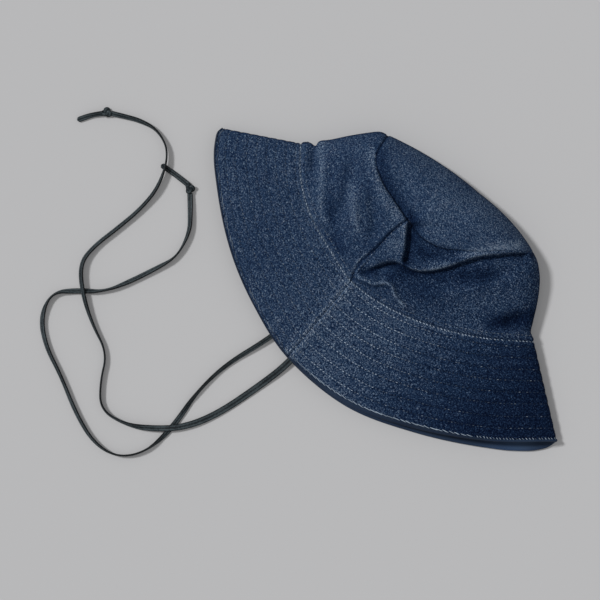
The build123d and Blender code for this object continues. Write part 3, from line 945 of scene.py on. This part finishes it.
LOWER_ROUTE = [
    (-34, -24, 4.5, 0), (-34, -50, 4.5, 0), (-38, -80, 4.5, 10), (-43, -108, 3.5, 25), (-53, -144, 1.4, 48),
    (-55, -177, 1.4, 66), (-49, -212, 1.4, 10), (-51, -242, 1.4, 84), (-65, -262, 1.4, 86),
    (-88, -267, 1.4, 62), (-116, -259, 1.4, 50), (-146, -245, 1.4, 55), (-172, -236, 1.4, 45),
    (-192, -221, 1.4, 35), (-199, -200, 1.4, 78), (-185, -185, 1.4, 15), (-168, -170, 1.4, 75),
    (-158, -149, 1.4, 40), (-149, -124, 1.4, 50), (-144, -107, 1.8, 84), (-150, -86, 1.8, 55),
    (-160, -74, 1.8, 30), (-173, -61, 2.4, 0),
]
UPPER_TAIL = [(-270, -63, 2.4, 30), (-275, -69, 1.8, 40), (-279, -76, 1.4, 20), (-282, -82, 1.4, 0)]
LOWER_TAIL = [(-178, -57.5, 2.4, 0), (-184, -58, 1.6, 0), (-194, -59, 1.4, 0), (-206, -61, 1.4, 0)]
ROUTE_FLOOR = 1.4  # the height of a route's points where it lies on the floor
LACE_WIDTH, LACE_THICKNESS = 4.5, 1.6
LACE_LIFT = 0.25  # the gap under it
LACE_NARROWS = (0.22, 0.48)  # shares of its length, where a lace that starts wider gets to its own width
LACE_END = 0.05  # least share, squared, of its width at a round end
KNOT_REACH = 3.0  # from the end of the route to the knot's middle
KNOT_SIZE, KNOT_HEIGHT, KNOT_STRAND = 1.15, 1.15, 1.2
KNOT_NARROWER = 0.85  # its size across the lace against its size along it
STRAND_ACROSS, STRAND_UP = 1.25, 0.9  # the strand's half width and half height against KNOT_STRAND
KNOT_STEPS, KNOT_SIDES = 96, 10
# The knot's strands are paler on top by a painted highlight.
KNOT_TONE, KNOT_TOP_HIGHLIGHT = 0.15, 0.7  # its lower half's tone, and how much paler its top is


def nurbs_line(name, points):
    """Points along the smooth line that a NURBS spline makes of a route, in mm."""
    curve = bpy.data.curves.new(name, "CURVE")
    curve.dimensions = "3D"
    line = curve.splines.new("NURBS")
    line.points.add(len(points) - 1)
    for point, place in zip(line.points, points):
        point.co = (place[0] * MM, place[1] * MM, place[2] * MM, 1)
    line.order_u = 3
    line.use_endpoint_u = True
    line.resolution_u = 24
    obj = bpy.data.objects.new(name, curve)
    mesh = bpy.data.meshes.new_from_object(obj)
    made = np.array([v.co[:] for v in mesh.vertices]) / MM
    bpy.data.objects.remove(obj)
    bpy.data.curves.remove(curve)
    bpy.data.meshes.remove(mesh)
    return made


def even(points, step):
    """The same line with its points about a step apart, and their distances along it."""
    run = distances(points)
    places = np.linspace(0, run[-1], max(6, int(run[-1] / step)))
    return at_places(places, run, points), places


# The lace's section in shares of its width and thickness: flat below, with a groove down its middle on top
STRIP_SECTION = [(-0.5, -0.16), (-0.45, -0.42), (-0.25, -0.5), (0.25, -0.5), (0.45, -0.42), (0.5, -0.16),
                 (0.5, 0.16), (0.46, 0.38), (0.38, 0.48), (0.24, 0.50), (0.08, 0.42), (0, 0.34),
                 (-0.08, 0.42), (-0.24, 0.50), (-0.38, 0.48), (-0.46, 0.38), (-0.5, 0.16)]

# How pale the lace is round its section, as painted light and shade: its two top ridges are painted lit, and
# its edges and the line down its middle are painted dark in shade
STRIP_PAINTED_SHADING = [0, 0.05, 0.4, 0.4, 0.05, 0, 0, 0.1, 0.6, 1, 0.5, 0.15, 0.5, 1, 0.6, 0.1, 0]


def lace_strip(name, points, across, up, widths):
    """A strip of the lace's own section along points, closed at both ends."""
    rings = np.stack([points + across * a * widths[:, None] + up * b * LACE_THICKNESS
                      for a, b in STRIP_SECTION], axis=1)
    k, last = len(STRIP_SECTION), len(points) - 1
    faces = []
    for i in range(last):
        faces += ring_faces(i * k, (i + 1) * k, k)
    faces.append(tuple(range(k - 1, -1, -1)))
    faces.append(tuple(last * k + j for j in range(k)))
    return add_mesh(name, rings.reshape(-1, 3), faces, LACE)


def strip(name, route, round_end, widen=0.0):
    """A flat lace along a route, resting on the floor however it is turned. It gets narrow over its round
    end's length, and may start wider than the rest."""
    points, places = even(nurbs_line(name + "_route", route), 1.0)
    share = places / places[-1]
    marks = distances(np.array([place[:3] for place in route], float))
    turn = np.radians(row_spline([(m / marks[-1], place[3]) for m, place in zip(marks, route)], share)[:, 0])
    widths = np.full(len(points), LACE_WIDTH) + widen * (1 - smooth(*LACE_NARROWS, share))
    left = np.maximum(round_end - (places[-1] - places), 0) / round_end
    widths = widths * np.sqrt(np.maximum(1 - left**2, LACE_END))
    half_height = widths / 2 * np.abs(np.sin(turn)) + LACE_THICKNESS / 2 * np.abs(np.cos(turn))
    points[:, 2] += half_height - ROUTE_FLOOR + LACE_LIFT
    tangent = unit(np.gradient(points, axis=0))
    flat = unit(np.cross(tangent, (0, 0, 1)))
    rise = np.cross(flat, tangent)
    across = flat * np.cos(turn)[:, None] + rise * np.sin(turn)[:, None]
    up = rise * np.cos(turn)[:, None] - flat * np.sin(turn)[:, None]
    obj = lace_strip(name, points, across, up, widths)
    add_value(obj, "tone", np.tile(STRIP_PAINTED_SHADING, len(points)))
    return obj, points


def overhand_knot(name, route):
    """The lace tied in an overhand knot, a closed trefoil, past the end of its route."""
    end, before = np.array(route[-1][:3], float), np.array(route[-2][:3], float)
    way = unit((end - before) * (1, 1, 0))
    side = np.cross((0, 0, 1), way)
    t = np.linspace(0, 2 * np.pi, KNOT_STEPS + 1)[:-1]
    local = np.c_[np.sin(t) + 2 * np.sin(2 * t), np.cos(t) - 2 * np.cos(2 * t), -np.sin(3 * t)]
    local = local * (KNOT_SIZE, KNOT_SIZE * KNOT_NARROWER, KNOT_HEIGHT)
    centre = end + way * KNOT_REACH
    centre[2] = KNOT_HEIGHT + KNOT_STRAND + LACE_LIFT
    points = centre + local @ np.array([way, side, (0, 0, 1)])
    tangent = unit(np.roll(points, -1, axis=0) - np.roll(points, 1, axis=0))
    across = unit(np.cross(tangent, (0, 0, 1)))
    up = np.cross(across, tangent)
    angle = np.arange(KNOT_SIDES) * 2 * np.pi / KNOT_SIDES
    rings = [points + (across * np.cos(a) * STRAND_ACROSS + up * np.sin(a) * STRAND_UP) * KNOT_STRAND
             for a in angle]
    faces = []
    for i in range(KNOT_STEPS):
        faces += ring_faces(i * KNOT_SIDES, (i + 1) % KNOT_STEPS * KNOT_SIDES, KNOT_SIDES)
    obj = add_mesh(name, np.stack(rings, axis=1).reshape(-1, 3), faces, LACE)
    add_value(obj, "tone", np.tile(KNOT_TONE + KNOT_TOP_HIGHLIGHT * np.maximum(np.sin(angle), 0) ** 2, KNOT_STEPS))
    return obj


# Each lace: its level, route and tail, how much wider it starts, in mm, and its length in metres
LACES = [
    ("upper", UPPER_ROUTE, UPPER_TAIL, 1.4, 0.568),
    ("lower", LOWER_ROUTE, LOWER_TAIL, 0, 0.566),
]
for level, route, tail_route, widen, length in LACES:
    lace, path = strip(f"chin_lace_{level}", route, round_end=1.5, widen=widen)
    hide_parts(f"chin_strap_{level}")
    knot = overhand_knot(f"lace_knot_{level}", route)
    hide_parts(f"knot_{level}")
    tail, _ = strip(f"lace_tail_{level}", tail_route, round_end=1.8)
    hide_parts(f"strap_tail_{level}")
    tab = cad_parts[f"strap_tab_{level}"]
    tab.data.materials.clear()
    tab.data.materials.append(LACE)

# ---------------------------------------------------------------- floor, camera and light

FLOOR_REACH = 3.0  # metres from its middle to each side
FLOOR_LOOK = {"Base Color": (0.503, 0.503, 0.511, 1), "Roughness": 0.95, "Specular IOR Level": 0.0,
              "Emission Color": (1, 1, 1.01, 1), "Emission Strength": 0.055}

floor_corners = [(x * FLOOR_REACH, y * FLOOR_REACH, 0) for x, y in ((-1, -1), (1, -1), (1, 1), (-1, 1))]
floor_mesh = bpy.data.meshes.new("floor")
floor_mesh.from_pydata(floor_corners, [], [(0, 1, 2, 3)])
floor = place_in_scene("floor", floor_mesh)
floor_paint = bpy.data.materials.new("floor_grey")
floor_paint.use_nodes = True
floor_shader = floor_paint.node_tree.nodes["Principled BSDF"]
for socket, value in FLOOR_LOOK.items():
    floor_shader.inputs[socket].default_value = value
floor_mesh.materials.append(floor_paint)

# A square view straight down, in metres, and how far it is turned against the frame
CAMERA_ROLL = math.radians(43.5)
CAMERA_PLACE = (-0.0453, -0.0631, 2.0)
VIEW_SIDE = 0.498
SENSOR = 36

camera_data = bpy.data.cameras.new("camera")
camera_data.sensor_width = SENSOR
camera_data.lens = SENSOR * CAMERA_PLACE[2] / VIEW_SIDE
camera = place_in_scene("camera", camera_data)
camera.location = CAMERA_PLACE
camera.rotation_euler = (0, 0, CAMERA_ROLL)
bpy.context.scene.camera = camera


def sun(name, azimuth, elevation, strength, size):
    """A soft light from a direction, in degrees; azimuth 0 is the picture's right and 90 its top."""
    data = bpy.data.lights.new(name, "SUN")
    data.energy, data.angle = strength, math.radians(size)
    turn, rise = math.radians(azimuth) + CAMERA_ROLL, math.radians(elevation)
    towards = Vector((math.cos(turn) * math.cos(rise), math.sin(turn) * math.cos(rise), math.sin(rise)))
    place_in_scene(name, data).rotation_euler = towards.to_track_quat("Z", "Y").to_euler()


sun("key", azimuth=154, elevation=47, strength=2.08, size=10)
world = bpy.data.worlds.new("world")
world.use_nodes = True
sky = world.node_tree.nodes["Background"]
sky.inputs["Color"].default_value = (1, 1, 1, 1)
sky.inputs["Strength"].default_value = 0.36
bpy.context.scene.world = world
bpy.context.scene.view_settings.view_transform = "Standard"
